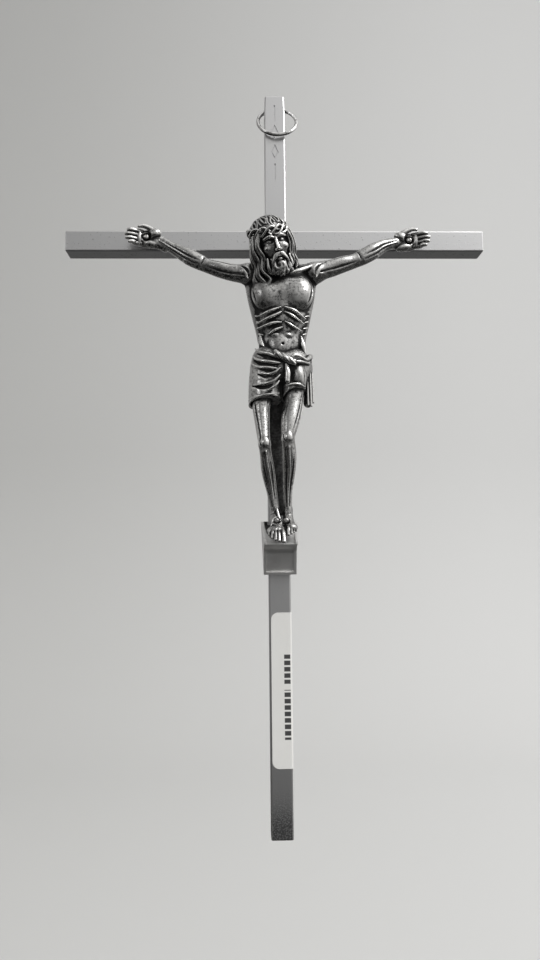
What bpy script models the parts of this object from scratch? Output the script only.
"""A metal wall crucifix: two half-lapped square bars, a cast figure held by pins, a footrest, a hanging ring.

Frame: +Z runs up the upright, +X along the crossbar, and the front faces -Y. The origin is the middle
of the crossing, on the flat back that lies against the wall.
"""

import math

import bmesh
import bpy
from mathutils import Matrix, Vector

MM = 0.001

# The cross
UPRIGHT_LENGTH = 210 * MM
CROSSBAR_LENGTH = 120.5 * MM
TOP_STUB = 44 * MM  # from the crossing to the top of the upright
BAR_WIDTH = 6 * MM
BAR_DEPTH = 6 * MM
EDGE_BEVEL = 0.35 * MM
TOP_TAPER = 0.2 * MM  # how much each side draws in at the very top
TOP_TAPER_LENGTH = 5 * MM

# Clearances
FIT_GAP = 0.15 * MM  # between two pieces that sit against each other
PIN_CLEARANCE = 0.1 * MM  # all round a pin in its hole
CAST_CLEARANCE = 0.22 * MM  # all round a pin in the casting's rougher holes

# The hanging ring
RING_RADIUS = 5.65 * MM  # to the middle of the wire
RING_WIRE = 1.0 * MM
RING_SPLIT = 0.12 * MM  # the open seam of the jump ring
RING_SIDE_SHIFT = 0.8 * MM  # the ring hangs a little off centre in its hole
RING_HOLE_DROP = 3 * MM  # from the top of the upright to the hole's axis
RING_HOLE_CLEARANCE = 0.12 * MM
RING_REST_GAP = 0.12 * MM  # between the resting wire and the front face

# The engraved ornament under the ring
ORNAMENT_TOP = 2.9 * MM  # from the top of the upright to the first mark
MARK_HEIGHT = 4.9 * MM
MARK_PITCH = 5.95 * MM
MARK_WIDTH = 2.2 * MM
MARK_LINE = 0.4 * MM
MARK_DEPTH = 0.25 * MM

# The pins that hold the figure, and the rivets
PIN_DIAMETER = 1.0 * MM
PIN_HEAD_DIAMETER = 1.6 * MM
PIN_HEAD_HEIGHT = 0.5 * MM
TAIL_DIAMETER = 2.0 * MM  # the peened tail at the back
TAIL_HEIGHT = 0.5 * MM
TAIL_SINK = 0.15 * MM  # how far a tail stays below the flat back
RIVET_DIAMETER = 1.8 * MM
RIVET_HEAD_DIAMETER = 3.0 * MM
LAP_RIVET_REACH = 1.8 * MM  # how far the crossing's rivet goes into the back half of the lap
FOOTREST_RIVET_REACH = 2.5 * MM  # how far its rivet goes into the footrest

# The figure, measured from the middle of the crossing and from the front of the bars
FIGURE_OFFSET = 0.9 * MM  # the figure's middle is this far to the right of the upright's
LEFT_REACH = 37.6 * MM  # from the figure's middle to the pin of each palm
RIGHT_REACH = 36.9 * MM
LEFT_PALM_DROP = 0.3 * MM
RIGHT_PALM_DROP = 1.2 * MM
PALM_FRONT = 3.2 * MM  # from the front of the crossbar to the hollow of the palm
BODY_DROP = 80.8 * MM  # from the crossbar's middle to the pins of the feet
FOOT_PIN_SPREAD = 2.5 * MM
INSTEP_FRONT = 8.6 * MM
FIGURE_VOXEL = 0.42 * MM
FIGURE_ORIGIN = 0.12 * MM  # the casting's own origin is this far behind the bars' front face
FIGURE_KEEP = 0.07  # share of the faces that the figure keeps

# The footrest, measured from its own top back corner
FOOTREST_RISE = 0.1 * MM  # its top corner is this far above the pins of the feet
FOOTREST_HEIGHT = 14.5 * MM
FOOTREST_DEPTH = 11.2 * MM  # how far its lip stands in front of the bar
FOOTREST_TOP_WIDTH = 10 * MM
FOOTREST_WIDTH = 8.8 * MM
LIP_DROP = 5.7 * MM  # how much lower the lip is than the top corner
LIP_HEIGHT = 0.7 * MM
COVE_DEPTH = 5.0 * MM
COVE_HEIGHT = 2.6 * MM
PANEL_LEAN = 1.7 * MM
RIM_WIDTH = 0.65 * MM
RIM_HEIGHT = 0.9 * MM
PANEL_SINK = 0.35 * MM
CHEEK_WRAP = 3.2 * MM  # how far the cheeks run back along the bar's sides

# The paper label
LABEL_TOP = 105.7 * MM  # below the crossing
LABEL_LENGTH = 41.6 * MM
LABEL_WIDTH = 9.5 * MM
LABEL_THICKNESS = 0.12 * MM
LABEL_GAP = 0.04 * MM
LABEL_CORNER = 1.9 * MM
LABEL_INSET = 0.15 * MM  # from the bar's left corner to the label's edge

FRONT = -BAR_DEPTH
TOP = TOP_STUB
BOTTOM = TOP_STUB - UPRIGHT_LENGTH
PAST = 2 * MM  # how far a cutter runs past what it cuts


# ---------------------------------------------------------------- making and cutting


def clear_scene():
    for old in list(bpy.data.objects):
        bpy.data.objects.remove(old, do_unlink=True)


def finish(name, color, roughness, metallic):
    """A plain Principled material."""
    material = bpy.data.materials.new(name)
    material.use_nodes = True
    shader = material.node_tree.nodes["Principled BSDF"]
    shader.inputs["Base Color"].default_value = (*color, 1)
    shader.inputs["Roughness"].default_value = roughness
    shader.inputs["Metallic"].default_value = metallic
    material.diffuse_color = (*color, 1)
    return material


def new_object(name, bm, material=None, smooth_angle=None):
    """Turns a bmesh into an object, with its normals facing out."""
    bmesh.ops.recalc_face_normals(bm, faces=bm.faces)
    mesh = bpy.data.meshes.new(name)
    bm.to_mesh(mesh)
    bm.free()
    if smooth_angle is not None:
        mesh.shade_smooth()
        mesh.set_sharp_from_angle(angle=smooth_angle)
    if material:
        mesh.materials.append(material)
    obj = bpy.data.objects.new(name, mesh)
    bpy.context.scene.collection.objects.link(obj)
    return obj


def add_cylinder(bm, start, end, radius, segments=16, end_radius=None):
    """A closed cylinder or cone frustum between two points."""
    start, end = Vector(start), Vector(end)
    axis = end - start
    turn = axis.to_track_quat("Z", "Y").to_matrix().to_4x4()
    bmesh.ops.create_cone(
        bm,
        cap_ends=True,
        segments=segments,
        radius1=radius,
        radius2=radius if end_radius is None else end_radius,
        depth=axis.length,
        matrix=Matrix.Translation((start + end) / 2) @ turn,
    )


def add_box(bm, low, high):
    low, high = Vector(low), Vector(high)
    place = Matrix.Translation((low + high) / 2) @ Matrix.Diagonal((*(high - low), 1))
    bmesh.ops.create_cube(bm, size=1, matrix=place)


def add_loft(bm, rings):
    """A closed solid through rings of points that correspond one to one."""
    rows = [[bm.verts.new(point) for point in ring] for ring in rings]
    for lower, upper in zip(rows, rows[1:]):
        for i in range(len(lower)):
            j = (i + 1) % len(lower)
            bm.faces.new((lower[i], lower[j], upper[j], upper[i]))
    bm.faces.new(rows[0][::-1])
    bm.faces.new(rows[-1])


def cut(target, name, build):
    """Cuts the solid that build draws out of target."""
    bm = bmesh.new()
    build(bm)
    cutter = new_object(name, bm)
    cutter.hide_render = True
    cutter.display_type = "WIRE"
    boolean = target.modifiers.new(name, "BOOLEAN")
    boolean.operation = "DIFFERENCE"
    boolean.object = cutter


def bevel_edges(target):
    bevel = target.modifiers.new("edges", "BEVEL")
    bevel.width = EDGE_BEVEL
    bevel.segments = 2
    bevel.limit_method = "ANGLE"


# ---------------------------------------------------------------- places that pieces share


def ring_inner_reach():
    """From the ring's middle to the wire's inner side, where the ring leaves the bar's far side."""
    mouth = BAR_WIDTH / 2 + RING_SIDE_SHIFT
    return math.sqrt((RING_RADIUS - RING_WIRE / 2) ** 2 - mouth**2)


def ring_hole_radius():
    return (RING_RADIUS + RING_WIRE / 2 - ring_inner_reach()) / 2 + RING_HOLE_CLEARANCE


def ring_hang():
    """From the hole's axis to the ring's middle."""
    return (RING_RADIUS + RING_WIRE / 2 + ring_inner_reach()) / 2


def ring_rest_tilt():
    """The angle from straight down at which the hanging wire lies against the front face."""
    mouth = BAR_WIDTH / 2 + RING_SIDE_SHIFT
    reach = ring_hang() + math.sqrt(RING_RADIUS**2 - mouth**2)
    return math.asin((BAR_DEPTH / 2 + RING_WIRE / 2 + RING_REST_GAP) / reach)


def ring_axis():
    return Vector((0, -BAR_DEPTH / 2, TOP - RING_HOLE_DROP))


def lap_plane():
    """The depth at which the two halves of the crossing meet."""
    return -BAR_DEPTH / 2


def palm_places():
    return {
        "left": Vector((FIGURE_OFFSET - LEFT_REACH, FRONT - PALM_FRONT, -LEFT_PALM_DROP)),
        "right": Vector((FIGURE_OFFSET + RIGHT_REACH, FRONT - PALM_FRONT, -RIGHT_PALM_DROP)),
    }


def instep_places():
    half = FOOT_PIN_SPREAD / 2
    middle = FOOT_PIN_SPREAD / 8
    return {
        "left": Vector((middle - half, FRONT - INSTEP_FRONT, -BODY_DROP)),
        "right": Vector((middle + half, FRONT - INSTEP_FRONT, -BODY_DROP)),
    }


def footrest_top():
    return -BODY_DROP + FOOTREST_RISE


def footrest_rivet_height():
    return footrest_top() - FOOTREST_HEIGHT + (FOOTREST_HEIGHT - LIP_DROP - LIP_HEIGHT) / 2


def drill(target, name, place, diameter, tail_diameter):
    """A hole along Y through the bar at place, and the counterbore at the back for a peened tail."""
    floor = -(TAIL_SINK + TAIL_HEIGHT + PIN_CLEARANCE)
    bore, seat = diameter / 2 + PIN_CLEARANCE, tail_diameter / 2 + PIN_CLEARANCE
    profile = [(place.y, bore), (floor, bore), (floor, seat), (PAST, seat)]
    cut(target, name + "_hole", lambda bm: add_turned(bm, place, profile, 16))


# ---------------------------------------------------------------- the two bars


def mark_middles():
    """Heights of the four engraved marks."""
    first = TOP - ORNAMENT_TOP - MARK_HEIGHT / 2
    return [first - MARK_PITCH * step for step in range(4)]


def add_dash_cutter(bm, height):
    half = MARK_LINE / 2
    add_box(
        bm,
        (-half, FRONT - PAST, height - MARK_HEIGHT / 2),
        (half, FRONT + MARK_DEPTH, height + MARK_HEIGHT / 2),
    )


def add_lozenge_cutter(bm, height):
    """A diamond outline, as wide as its line."""

    def outline(half_width, half_height, y):
        return [
            Vector((0, y, height + half_height)),
            Vector((half_width, y, height)),
            Vector((0, y, height - half_height)),
            Vector((-half_width, y, height)),
        ]

    half_width, half_height = MARK_WIDTH / 2, MARK_HEIGHT / 2
    shrink = 1 - 2 * MARK_LINE / MARK_WIDTH
    loops = [
        outline(half_width, half_height, FRONT - PAST),
        outline(half_width, half_height, FRONT + MARK_DEPTH),
        outline(half_width * shrink, half_height * shrink, FRONT + MARK_DEPTH),
        outline(half_width * shrink, half_height * shrink, FRONT - PAST),
    ]
    rows = [[bm.verts.new(point) for point in loop] for loop in loops]
    for one, other in zip(rows, rows[1:] + rows[:1]):
        for i in range(4):
            j = (i + 1) % 4
            bm.faces.new((one[i], one[j], other[j], other[i]))


def make_upright(material):
    half = BAR_WIDTH / 2
    levels = [
        (BOTTOM, half),
        (TOP - TOP_TAPER_LENGTH, half),
        (TOP, half - TOP_TAPER),
    ]
    bm = bmesh.new()
    add_loft(bm, [
        [Vector((x, y, z)) for x, y in ((-w, 0), (w, 0), (w, FRONT), (-w, FRONT))]
        for z, w in levels
    ])
    upright = new_object("upright", bm, material)
    bevel_edges(upright)
    notch = BAR_WIDTH / 2 + FIT_GAP
    cut(upright, "upright_notch", lambda bm: add_box(
        bm, (-BAR_WIDTH, lap_plane() - FIT_GAP / 2, -notch), (BAR_WIDTH, PAST, notch)))
    axis = ring_axis()
    cut(upright, "ring_hole", lambda bm: add_cylinder(
        bm, (-BAR_WIDTH, axis.y, axis.z), (BAR_WIDTH, axis.y, axis.z), ring_hole_radius(), 24))
    heights = mark_middles()
    for number, height in enumerate(heights):
        build = add_lozenge_cutter if number in (1, 2) else add_dash_cutter
        cut(upright, f"mark_{number}", lambda bm, build=build, height=height: build(bm, height))
    ahead = (0, FRONT - PAST, 0)
    cut(upright, "lap_rivet_hole", lambda bm: add_cylinder(
        bm, ahead, (0, PAST, 0), RIVET_DIAMETER / 2 + PIN_CLEARANCE))
    cut(upright, "lap_rivet_seat", lambda bm: add_cylinder(
        bm, ahead, (0, FRONT + TAIL_SINK + TAIL_HEIGHT + PIN_CLEARANCE, 0),
        RIVET_HEAD_DIAMETER / 2 + PIN_CLEARANCE))
    for side, place in instep_places().items():
        drill(upright, f"foot_pin_{side}", place, PIN_DIAMETER, TAIL_DIAMETER)
    rivet = Vector((0, FRONT - PAST, footrest_rivet_height()))
    drill(upright, "footrest_rivet", rivet, RIVET_DIAMETER, RIVET_HEAD_DIAMETER)
    return upright


def make_crossbar(material):
    half_length, half = CROSSBAR_LENGTH / 2, BAR_WIDTH / 2
    bm = bmesh.new()
    add_box(bm, (-half_length, FRONT, -half), (half_length, 0, half))
    crossbar = new_object("crossbar", bm, material)
    bevel_edges(crossbar)
    notch = BAR_WIDTH / 2 + FIT_GAP
    cut(crossbar, "crossbar_notch", lambda bm: add_box(
        bm, (-notch, FRONT - PAST, -BAR_WIDTH), (notch, lap_plane() + FIT_GAP / 2, BAR_WIDTH)))
    deep = lap_plane() + FIT_GAP / 2 + LAP_RIVET_REACH + PIN_CLEARANCE
    cut(crossbar, "lap_rivet_socket", lambda bm: add_cylinder(
        bm, (0, FRONT, 0), (0, deep, 0), RIVET_DIAMETER / 2 + PIN_CLEARANCE))
    for side, place in palm_places().items():
        drill(crossbar, f"hand_pin_{side}", place, PIN_DIAMETER, TAIL_DIAMETER)
    return crossbar


# ---------------------------------------------------------------- pins and rivets


def add_turned(bm, place, profile, segments):
    """A shape turned about the line through place along Y. profile lists (depth, radius), front first."""
    turns = [2 * math.pi * i / segments for i in range(segments)]
    add_loft(bm, [
        [
            Vector((place.x + radius * math.cos(a), depth, place.z + radius * math.sin(a)))
            for a in turns
        ]
        for depth, radius in profile
    ])


def turned(name, material, place, profile, segments=16):
    """A turned solid of its own, such as a pin or a rivet."""
    bm = bmesh.new()
    add_turned(bm, place, profile, segments)
    return new_object(name, bm, material, math.radians(35))


def make_pin(name, material, place):
    """A round-headed pin from the figure's surface at place to its peened tail."""
    head, shank = PIN_HEAD_DIAMETER / 2, PIN_DIAMETER / 2
    turned(name, material, place, [
        (place.y - PIN_HEAD_HEIGHT, head * 0.45),
        (place.y - PIN_HEAD_HEIGHT * 0.7, head * 0.85),
        (place.y - PIN_HEAD_HEIGHT * 0.3, head),
        (place.y, head),
        (place.y, shank),
        (-(TAIL_SINK + TAIL_HEIGHT), shank),
        (-(TAIL_SINK + TAIL_HEIGHT), TAIL_DIAMETER / 2),
        (-TAIL_SINK - TAIL_HEIGHT * 0.3, TAIL_DIAMETER / 2),
        (-TAIL_SINK, TAIL_DIAMETER / 2 * 0.75),
    ])


def make_lap_rivet(material):
    """Driven in from the front, behind the figure, with a sunk head."""
    head, shank = RIVET_HEAD_DIAMETER / 2, RIVET_DIAMETER / 2
    under_head = FRONT + TAIL_SINK + TAIL_HEIGHT
    tip = lap_plane() + FIT_GAP / 2 + LAP_RIVET_REACH
    turned("lap_rivet", material, Vector((0, 0, 0)), [
        (FRONT + TAIL_SINK, head * 0.8),
        (FRONT + TAIL_SINK + TAIL_HEIGHT * 0.3, head),
        (under_head, head),
        (under_head, shank),
        (tip - PIN_CLEARANCE, shank),
        (tip, shank * 0.8),
    ])


def make_footrest_rivet(material):
    """Driven in from the back, through the upright."""
    head, shank = RIVET_HEAD_DIAMETER / 2, RIVET_DIAMETER / 2
    tip = FRONT - FIT_GAP - FOOTREST_RIVET_REACH
    place = Vector((0, 0, footrest_rivet_height()))
    turned("footrest_rivet", material, place, [
        (tip, shank * 0.8),
        (tip + PIN_CLEARANCE, shank),
        (-(TAIL_SINK + TAIL_HEIGHT), shank),
        (-(TAIL_SINK + TAIL_HEIGHT), head),
        (-TAIL_SINK - TAIL_HEIGHT * 0.3, head),
        (-TAIL_SINK, head * 0.8),
    ])


# ---------------------------------------------------------------- the footrest


def footrest_half_width(z):
    """The cheeks draw in from the top corner down to the lip, and stay straight below it."""
    down = min(max((footrest_top() - z) / LIP_DROP, 0), 1)
    return (FOOTREST_TOP_WIDTH + (FOOTREST_WIDTH - FOOTREST_TOP_WIDTH) * down) / 2


def footrest_front(raise_by, forward_by):
    """The front outline in the YZ plane: platform, lip, cove and panel, moved up and forward for the rims."""
    top, lip_y = footrest_top(), FRONT - FOOTREST_DEPTH
    lip_z = top - LIP_DROP
    under = lip_z - LIP_HEIGHT
    cove_back = lip_y + COVE_DEPTH
    points = [
        (FRONT, top - RIM_HEIGHT + raise_by),
        (lip_y - forward_by, lip_z - RIM_HEIGHT / 2 + raise_by),
        (lip_y - forward_by, under),
    ]
    steps = 5
    for i in range(1, steps):
        turn = math.pi / 2 * i / steps
        cove_y = lip_y - forward_by + COVE_DEPTH * math.sin(turn)
        points.append((cove_y, under - COVE_HEIGHT * (1 - math.cos(turn))))
    points += [
        (cove_back - forward_by, under - COVE_HEIGHT),
        (cove_back - forward_by + PANEL_LEAN, top - FOOTREST_HEIGHT),
    ]
    return points


def make_footrest(material):
    """A bracket whose cheeks clasp the bar, with a sloping platform, a cove and a sunk panel."""
    outline = [(FRONT + CHEEK_WRAP, footrest_top() - FOOTREST_HEIGHT), (FRONT + CHEEK_WRAP, footrest_top())]
    rim = footrest_front(RIM_HEIGHT, 0)
    outline += rim
    bm = bmesh.new()
    add_loft(bm, [
        [Vector((side * footrest_half_width(z), y, z)) for y, z in outline]
        for side in (-1, 1)
    ])
    footrest = new_object("footrest", bm, material)

    def platform_space(bm):
        """Everything between the rims: over the platform and in front of the cove and panel."""
        inner = footrest_front(0, -PANEL_SINK)[:-1]
        far = FRONT - FOOTREST_DEPTH - PAST
        bottom = footrest_top() - FOOTREST_HEIGHT + RIM_WIDTH
        last_y = inner[-1][0] + PANEL_LEAN
        above = footrest_top() + PAST
        space = [(FRONT, above)] + inner + [(last_y, bottom), (far, bottom), (far, above)]
        add_loft(bm, [
            [Vector((side * (footrest_half_width(z) - RIM_WIDTH), y, z)) for y, z in space]
            for side in (-1, 1)
        ])

    cut(footrest, "platform_space", platform_space)
    half = BAR_WIDTH / 2 + FIT_GAP
    cut(footrest, "bar_slot", lambda bm: add_box(
        bm,
        (-half, FRONT - FIT_GAP, footrest_top() - FOOTREST_HEIGHT - PAST),
        (half, PAST, footrest_top() + PAST)))
    height = footrest_rivet_height()
    deep = FRONT - FIT_GAP - FOOTREST_RIVET_REACH - PIN_CLEARANCE
    cut(footrest, "rivet_bore", lambda bm: add_cylinder(
        bm, (0, deep, height), (0, PAST, height), RIVET_DIAMETER / 2 + PIN_CLEARANCE))
    return footrest


# ---------------------------------------------------------------- the cast figure


def figure_point(x, forward, z):
    """A point to the right of the figure's middle, in front of the bars and above the crossbar's middle."""
    return Vector((FIGURE_OFFSET + x * MM, FRONT - forward * MM, z * MM))


def add_ball(bm, place, radii, lean=0.0):
    """An ellipsoid with its radii in millimetres, leaning to one side by an angle in degrees."""
    turn = Matrix.Rotation(math.radians(lean), 4, "Y")
    bmesh.ops.create_uvsphere(
        bm,
        u_segments=20,
        v_segments=14,
        radius=MM,
        matrix=Matrix.Translation(place) @ turn @ Matrix.Diagonal((*radii, 1)),
    )


def add_limb(bm, joints):
    """A chain of tapered round lengths. joints lists (point, radius in millimetres)."""
    for (start, start_radius), (end, end_radius) in zip(joints, joints[1:]):
        add_cylinder(bm, start, end, start_radius * MM, 16, end_radius * MM)
    for place, radius in joints:
        add_ball(bm, place, (radius, radius, radius))


def add_arm(bm, side):
    palm = palm_places()["left" if side < 0 else "right"]
    rise = 0.0 if side < 0 else 0.8
    wrist = palm + Vector((-side * 4.9, 0.4, -1.2)) * MM
    elbow = figure_point(side * 20.3, 4.8, -10.2 + rise)
    shoulder = figure_point(side * 8.6, 6.3, -12.6 + rise * 0.4)
    add_limb(bm, [(shoulder, 2.5), (figure_point(side * 14.5, 5.7, -11.8 + rise), 2.1), (elbow, 1.9)])
    add_limb(bm, [(elbow, 1.9), (elbow.lerp(wrist, 0.35), 2.0), (wrist, 1.35)])
    add_ball(bm, palm + Vector((0.2 * -side, 1.0, 0.2)) * MM, (3.1, 1.9, 3.0))
    add_limb(bm, [(wrist, 1.35), (palm + Vector((-side * 1.5, 1.0, 0)) * MM, 1.9)])
    for number, spread in enumerate((1.7, 0.5, -0.8, -2.0)):
        knuckle = palm + Vector((side * 1.8, 0.9, spread)) * MM
        middle = palm + Vector((side * 4.4, 0.4, spread * 0.95)) * MM
        tip = palm + Vector((side * (6.0 - 0.3 * number), -0.8, spread * 0.8)) * MM
        add_limb(bm, [(knuckle, 0.85), (middle, 0.75), (tip, 0.65)])
    thumb = palm + Vector((side * 0.2, 0.2, 2.6)) * MM
    add_limb(bm, [(palm + Vector((-side * 2.0, 0.8, 1.2)) * MM, 1.1), (thumb, 0.9),
                  (thumb + Vector((side * 2.0, -0.5, 0.3)) * MM, 0.7)])


def add_leg(bm, side):
    """The feet stand side by side, the left one a little in front."""
    pin = instep_places()["left" if side < 0 else "right"]
    hip = figure_point(side * 3.6 - 0.3, 6.5, -41.5)
    knee_x, knee_z = (-4.6, -60.8) if side < 0 else (1.1, -59.2)
    knee = figure_point(knee_x, 12.4, knee_z)
    ahead = 0.8 if side < 0 else 0.0
    ankle = figure_point(-1.9 if side < 0 else 1.4, 6.6 + ahead, -77.6)
    calf = knee.lerp(ankle, 0.35) + Vector((0, 1.3, 0)) * MM
    add_limb(bm, [(hip, 3.5), (hip.lerp(knee, 0.5), 2.9), (knee, 2.25)])
    add_limb(bm, [(knee, 2.25), (calf, 2.2), (knee.lerp(ankle, 0.75), 1.4), (ankle, 1.25)])
    heel = Vector((ankle.x, FRONT - 3.6 * MM, pin.z + 0.3 * MM))
    ball = Vector((pin.x + (-0.5 if side < 0 else 0.6) * MM, FRONT - (9.8 + ahead) * MM, pin.z - 2.0 * MM))
    toes = ball + Vector((0, -2.8, -2.1)) * MM
    add_limb(bm, [(ankle, 1.2), (Vector((pin.x, FRONT - 6.9 * MM, pin.z + 0.2 * MM)), 1.6), (ball, 1.35)])
    add_limb(bm, [(ankle, 1.2), (heel, 1.25), (ball, 1.2)])
    add_ball(bm, ball + Vector((0, -0.6, -0.4)) * MM, (2.2, 1.5, 1.2))
    add_ball(bm, toes, (2.1, 1.2, 0.9))


def add_torso(bm):
    add_ball(bm, figure_point(0.2, 6.6, -17.0), (8.8, 4.2, 6.8))
    add_ball(bm, figure_point(-3.7, 8.6, -17.5), (4.2, 3.3, 4.6))
    add_ball(bm, figure_point(3.9, 8.6, -17.2), (4.2, 3.3, 4.6))
    add_ball(bm, figure_point(0.1, 7.0, -24.5), (7.6, 4.4, 7.4))
    add_ball(bm, figure_point(-0.3, 7.0, -31.5), (6.2, 4.0, 6.2))
    add_ball(bm, figure_point(-0.2, 6.6, -38.5), (7.3, 4.6, 5.6))
    add_limb(bm, [
        (figure_point(-8.0, 6.3, -12.9), 2.4),
        (figure_point(0, 6.6, -13.4), 2.8),
        (figure_point(8.2, 6.3, -12.4), 2.4),
    ])
    add_limb(bm, [(figure_point(0, 6.8, -13.5), 2.8), (figure_point(-1.2, 9.4, -10.0), 2.8)])


def add_head(bm):
    """Bowed forward and leaning a little to one side, with the crown, hair and beard as plain masses."""
    middle = figure_point(-2.4, 11.4, -6.2)
    add_ball(bm, middle, (5.6, 6.0, 7.4), -14)
    add_ball(bm, middle + Vector((-0.2, 0.6, 3.2)) * MM, (6.5, 6.2, 4.7), -14)
    add_ball(bm, middle + Vector((1.5, -2.6, -6.0)) * MM, (2.9, 2.9, 3.2))
    add_limb(bm, [
        (middle + Vector((-5.2, 0.5, -1.0)) * MM, 1.5),
        (middle + Vector((-5.4, 1.2, -6.0)) * MM, 1.5),
        (figure_point(-6.2, 9.4, -14.6), 1.2),
    ])
    add_limb(bm, [
        (middle + Vector((5.2, 1.5, -1.0)) * MM, 1.3),
        (middle + Vector((5.6, 2.2, -5.0)) * MM, 1.3),
        (figure_point(3.6, 8.4, -12.2), 1.1),
    ])


def add_loincloth(bm):
    add_ball(bm, figure_point(-0.4, 7.2, -38.2), (8.4, 5.4, 5.6))
    add_limb(bm, [(figure_point(-4.6, 7.0, -38.0), 4.3), (figure_point(-5.0, 7.6, -44.2), 3.9)])
    add_limb(bm, [(figure_point(3.4, 7.0, -38.0), 4.3), (figure_point(3.6, 8.0, -42.4), 3.7)])
    add_ball(bm, figure_point(2.6, 11.2, -36.8), (3.6, 1.9, 1.7), 12)
    add_limb(bm, [(figure_point(7.2, 7.6, -36.6), 1.5), (figure_point(7.9, 6.6, -47.4), 1.3)])


def make_corpus(material):
    """The whole casting as one solid: rounded masses fused by a voxel remesh, then thinned out."""
    bm = bmesh.new()
    add_torso(bm)
    add_head(bm)
    add_loincloth(bm)
    for side in (-1, 1):
        add_arm(bm, side)
        add_leg(bm, side)
    # Its origin goes with the bars' front face, so the fused surface is the same however deep they are.
    origin = FRONT + FIGURE_ORIGIN
    bmesh.ops.translate(bm, verts=bm.verts, vec=(0, -origin, 0))
    corpus = new_object("corpus", bm, material)
    corpus.location.y = origin
    fuse = corpus.modifiers.new("fuse", "REMESH")
    fuse.mode = "VOXEL"
    fuse.voxel_size = FIGURE_VOXEL
    soften = corpus.modifiers.new("soften", "SMOOTH")
    soften.factor = 0.5
    soften.iterations = 4
    cut(corpus, "figure_back", lambda bm: add_box(
        bm,
        (-CROSSBAR_LENGTH, FRONT - FIT_GAP, -UPRIGHT_LENGTH),
        (CROSSBAR_LENGTH, FRONT + BAR_DEPTH, TOP)))

    def under_the_feet(bm):
        """The footrest's platform and everything below it, grown by the gap."""
        inner = footrest_front(0, -PANEL_SINK)
        slope = [(y, z + FIT_GAP) for y, z in inner[:2]]
        far = FRONT - FOOTREST_DEPTH - PAST
        lip_z = slope[1][1]
        low = footrest_top() - FOOTREST_HEIGHT
        wide = FOOTREST_TOP_WIDTH
        space = slope + [(far, lip_z), (far, low), (FRONT, low)]
        add_loft(bm, [[Vector((side * wide, y, z)) for y, z in space] for side in (-1, 1)])

    cut(corpus, "under_the_feet", under_the_feet)
    for side, place in palm_places().items():
        cut(corpus, f"palm_{side}", lambda bm, place=place: add_pin_seat(bm, place))
    for side, place in instep_places().items():
        cut(corpus, f"instep_{side}", lambda bm, place=place: add_pin_seat(bm, place))
    thin = corpus.modifiers.new("thin", "DECIMATE")
    thin.ratio = FIGURE_KEEP
    return corpus


def add_pin_seat(bm, place):
    """A pin's bore through the casting, and the flat seat that its head bears on."""
    bore = PIN_DIAMETER / 2 + CAST_CLEARANCE
    seat = PIN_HEAD_DIAMETER / 2 + CAST_CLEARANCE
    floor = place.y + CAST_CLEARANCE
    add_turned(bm, place, [(place.y - PAST, seat), (floor, seat), (floor, bore), (PAST, bore)], 14)


# ---------------------------------------------------------------- the ring and the label


def make_ring(material):
    """A split jump ring through the cross-drilled hole. Its origin is on the hole's axis."""
    sections, sides = 44, 10
    half_split = RING_SPLIT / RING_RADIUS / 2
    seam = math.radians(205)
    middle = Vector((RING_SIDE_SHIFT, 0, -ring_hang()))
    rings = []
    for i in range(sections + 1):
        around = seam + half_split + (2 * math.pi - 2 * half_split) * i / sections
        outward = Vector((math.cos(around), 0, math.sin(around)))
        wire = [2 * math.pi * j / sides for j in range(sides)]
        rings.append([
            middle
            + outward * (RING_RADIUS + RING_WIRE / 2 * math.cos(a))
            + Vector((0, RING_WIRE / 2 * math.sin(a), 0))
            for a in wire
        ])
    bm = bmesh.new()
    add_loft(bm, rings)
    ring = new_object("hanging_ring", bm, material, math.radians(50))
    ring.location = ring_axis()
    ring.rotation_euler = (-ring_rest_tilt(), 0, 0)
    return ring


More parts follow.
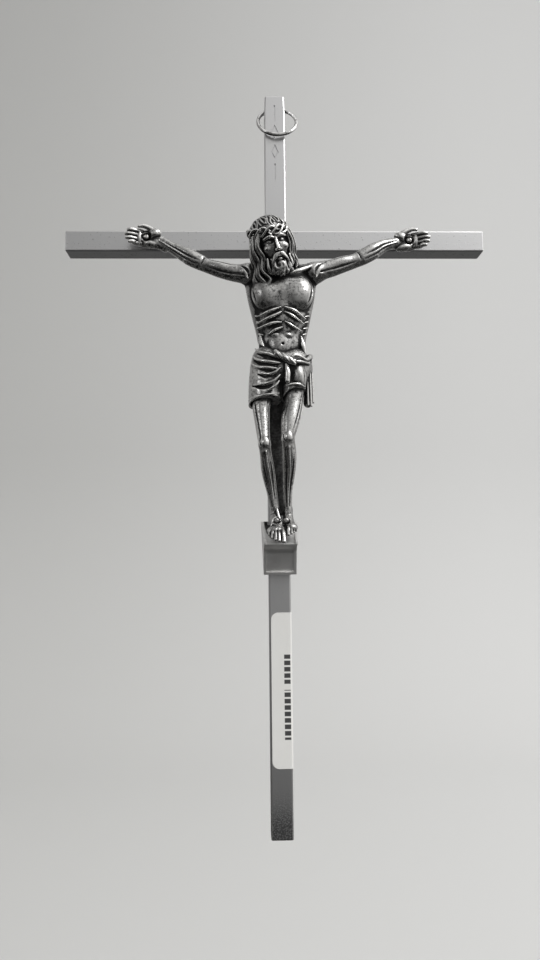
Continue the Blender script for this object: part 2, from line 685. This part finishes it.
def make_label(material):
    """A paper label stuck on the front and folded round the right-hand corner."""
    corner = BAR_WIDTH / 2
    bend = EDGE_BEVEL + LABEL_GAP
    start = -corner + EDGE_BEVEL + LABEL_INSET
    flat = corner - EDGE_BEVEL - start  # run of the label before the fold
    arc = math.pi / 2 * bend

    def place(along, out):
        """The point at a distance along the label, out from its glued face."""
        if along <= flat:
            return start + along, FRONT - LABEL_GAP - out
        turn = min((along - flat) / bend, math.pi / 2)
        past = max(along - flat - arc, 0)
        centre_x, centre_y = corner - EDGE_BEVEL, FRONT + EDGE_BEVEL
        reach = bend + out
        return centre_x + reach * math.sin(turn), centre_y - reach * math.cos(turn) + past

    def half_height(along):
        """The label's half height there, with a round corner at each end."""
        into = LABEL_CORNER - min(along, LABEL_WIDTH - along, LABEL_CORNER)
        return LABEL_LENGTH / 2 - LABEL_CORNER + math.sqrt(max(LABEL_CORNER**2 - into**2, 0))

    round_steps = [LABEL_CORNER * (1 - math.cos(math.pi / 2 * i / 6)) for i in range(7)]
    fold_steps = [flat + arc * i / 4 for i in range(5)]
    stops = round_steps + fold_steps + [LABEL_WIDTH - step for step in reversed(round_steps)]
    middle = -LABEL_TOP - LABEL_LENGTH / 2
    rings = []
    for along in stops:
        glued, face = place(along, 0), place(along, LABEL_THICKNESS)
        tall = half_height(along)
        rings.append([
            Vector((*glued, middle - tall)),
            Vector((*face, middle - tall)),
            Vector((*face, middle + tall)),
            Vector((*glued, middle + tall)),
        ])
    bm = bmesh.new()
    add_loft(bm, rings)
    return new_object("label", bm, material, math.radians(35))


# ---------------------------------------------------------------- the whole


def build():
    clear_scene()
    bar_metal = finish("satin_nickel", (0.62, 0.61, 0.60), 0.32, 1.0)
    silver = finish("antique_silver", (0.50, 0.49, 0.48), 0.25, 1.0)
    wire = finish("ring_steel", (0.55, 0.55, 0.55), 0.2, 1.0)
    paper = finish("label_paper", (0.82, 0.82, 0.81), 0.7, 0.0)
    make_upright(bar_metal)
    make_crossbar(bar_metal)
    make_lap_rivet(bar_metal)
    make_footrest(bar_metal)
    make_footrest_rivet(bar_metal)
    make_corpus(silver)
    for side, place in palm_places().items():
        make_pin(f"hand_pin_{side}", silver, place)
    for side, place in instep_places().items():
        make_pin(f"foot_pin_{side}", silver, place)
    make_ring(wire)
    make_label(paper)


build()
